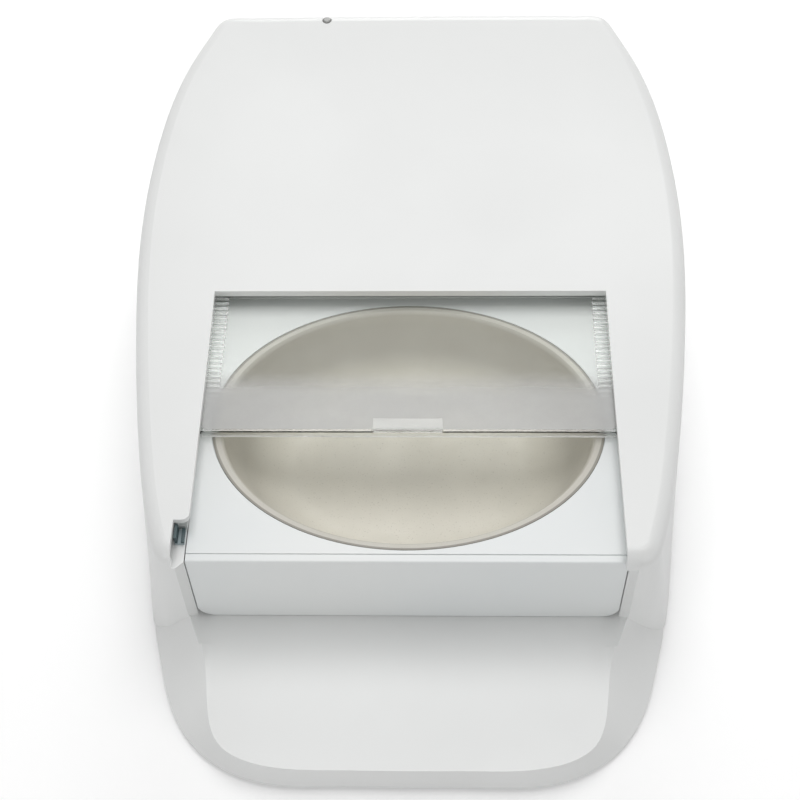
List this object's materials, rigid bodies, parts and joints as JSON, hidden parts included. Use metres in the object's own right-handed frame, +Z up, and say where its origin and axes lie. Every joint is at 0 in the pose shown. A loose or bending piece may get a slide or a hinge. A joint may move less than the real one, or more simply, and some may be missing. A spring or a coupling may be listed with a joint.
{
  "type": "microchip pet feeder",
  "caption": "Low white pet feeder: a raised hood over an oval bowl in a pull-out tray, with a clear motor-driven sliding cover and a battery box beneath.",
  "frame": {"origin": "centre of the footprint, on the surface the feeder stands on", "axes": "+Z up, +Y to the rear under the hood, -Y to the side the pet eats from, +X to the right seen from the front"},
  "size_m": [0.244, 0.347, 0.0928],
  "materials": {
    "housing": "glossy white moulded plastic",
    "rail": "pale slick moulded plastic",
    "bowl": "satin warm grey plastic",
    "clear": "clear moulded plastic, slightly smoked",
    "steel": "ground steel",
    "bronze": "sintered bronze",
    "gear": "natural acetal",
    "gearbox": "black moulded plastic",
    "can": "zinc plated can",
    "screw": "zinc plated",
    "rubber": "soft grey-black rubber",
    "cell": "plain wrapped cell",
    "contact": "nickel plated spring steel",
    "board": "green circuit board lacquer",
    "chip": "black moulded components",
    "copper": "lacquered copper winding",
    "sensor": "dark moulded sensor body",
    "button": "grey button cap",
    "lens": "smoked light guide"
  },
  "bodies": {
    "base": {"upper_shell": "housing", "base_plate": "housing", "foot_1": "rubber", "foot_2": "rubber", "foot_3": "rubber", "foot_4": "rubber", "base_screws": "screw", "guide_rail_left": "rail", "guide_rail_right": "rail", "battery_plates": "contact", "battery_springs": "contact", "battery_cell_1": "cell", "battery_cell_2": "cell", "battery_cell_3": "cell", "battery_cell_4": "cell", "bearing_block_left": "rail", "bearing_block_right": "rail", "shaft_bush_left": "bronze", "shaft_bush_right": "bronze", "gearbox": "gearbox", "motor_can": "can", "motor_bracket": "steel", "bracket_screws": "screw", "main_board": "board", "main_board_parts": "chip", "board_screws": "screw", "reader_board": "board", "antenna_coil": "copper", "closed_sensor": "sensor", "open_sensor": "sensor", "button_board": "board", "button_switches": "chip", "indicator_lens": "lens", "dc_jack": "chip"},
    "cover": {"cover": "clear"},
    "shaft": {"drive_shaft": "steel", "pinion_left": "gear", "pinion_right": "gear", "shaft_gear": "gear"},
    "motor": {"motor_gear": "gear", "output_shaft": "steel"},
    "drawer": {"bowl_tray": "housing", "bowl": "bowl"},
    "door": {"battery_door": "housing"},
    "learn_button": {"learn_button": "button"},
    "open_button": {"open_button": "button"}
  },
  "joints": [
    {"name": "cover_slide", "type": "slide", "parent": "base", "child": "cover", "axis": [0, 1, 0], "range_m": [-0.053, 0.06]},
    {"name": "shaft_spin", "type": "hinge", "parent": "base", "child": "shaft", "pos_m": [0, 0.036, 0.0528], "axis": [1, 0, 0], "range_deg": [-478.5, 422.8]},
    {"name": "motor_spin", "type": "hinge", "parent": "base", "child": "motor", "pos_m": [0, 0.046, 0.0398], "axis": [1, 0, 0], "range_deg": [-299.7, 339.2]},
    {"name": "drawer_slide", "type": "slide", "parent": "base", "child": "drawer", "axis": [0, -1, 0], "range_m": [0, 0.13]},
    {"name": "battery_door_slide", "type": "slide", "parent": "base", "child": "door", "axis": [0, 0, -1], "range_m": [0, 0.03]},
    {"name": "learn_button_press", "type": "slide", "parent": "base", "child": "learn_button", "axis": [0, -1, 0], "range_m": [0, 0.0012], "stiffness_N_per_m": 300},
    {"name": "open_button_press", "type": "slide", "parent": "base", "child": "open_button", "axis": [0, -1, 0], "range_m": [0, 0.0012], "stiffness_N_per_m": 300}
  ],
  "couplings": [
    {"joint": "shaft_spin", "follows": "cover_slide", "rad_per_m": -138.89},
    {"joint": "motor_spin", "follows": "cover_slide", "rad_per_m": 98.38}
  ]
}
